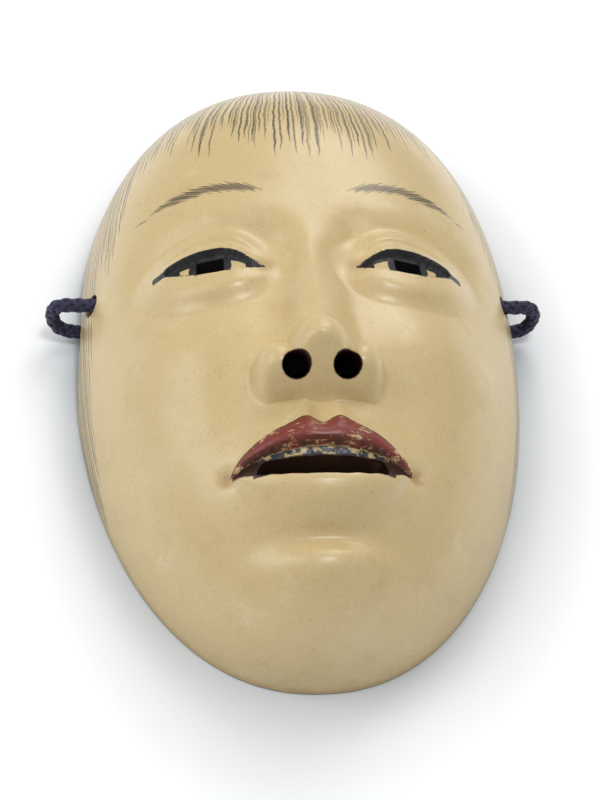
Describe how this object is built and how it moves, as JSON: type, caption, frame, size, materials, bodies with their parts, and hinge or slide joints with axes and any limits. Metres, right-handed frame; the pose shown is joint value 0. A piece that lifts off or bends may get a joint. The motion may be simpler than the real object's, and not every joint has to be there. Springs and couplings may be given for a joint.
{
  "type": "noh mask",
  "caption": "Carved wooden theatre mask with an aged cream painted face, pierced eyes, nostrils and mouth, a lacquered hollow back and two braided side cords.",
  "frame": {"origin": "on the rim plane, under the middle of the mask", "axes": "+X to the right when looking at the face, +Y from chin to crown, +Z out of the face"},
  "size_m": [0.1492, 0.21, 0.0662],
  "materials": {
    "carved_wood": "bare carved cypress, darkened with age",
    "painted_gofun": "yellowed shell-white paint, soft satin sheen, ink and red lip paint",
    "back_lacquer": "worn brown lacquer over chisel marks",
    "cord_silk": "round braided silk, very dark blue",
    "tie_thread": "wound silk thread"
  },
  "bodies": {
    "root": {"wood_shell": "carved_wood", "gofun_coat": "painted_gofun", "back_lacquer": "back_lacquer", "left_cord": "cord_silk", "left_cord_tail": "cord_silk", "left_cord_knot": "cord_silk", "left_cord_coil": "cord_silk", "left_coil_tie": "tie_thread", "left_cord_whipping": "tie_thread", "right_cord": "cord_silk", "right_cord_tail": "cord_silk", "right_cord_knot": "cord_silk", "right_cord_coil": "cord_silk", "right_coil_tie": "tie_thread", "right_cord_whipping": "tie_thread"}
  },
  "joints": []
}
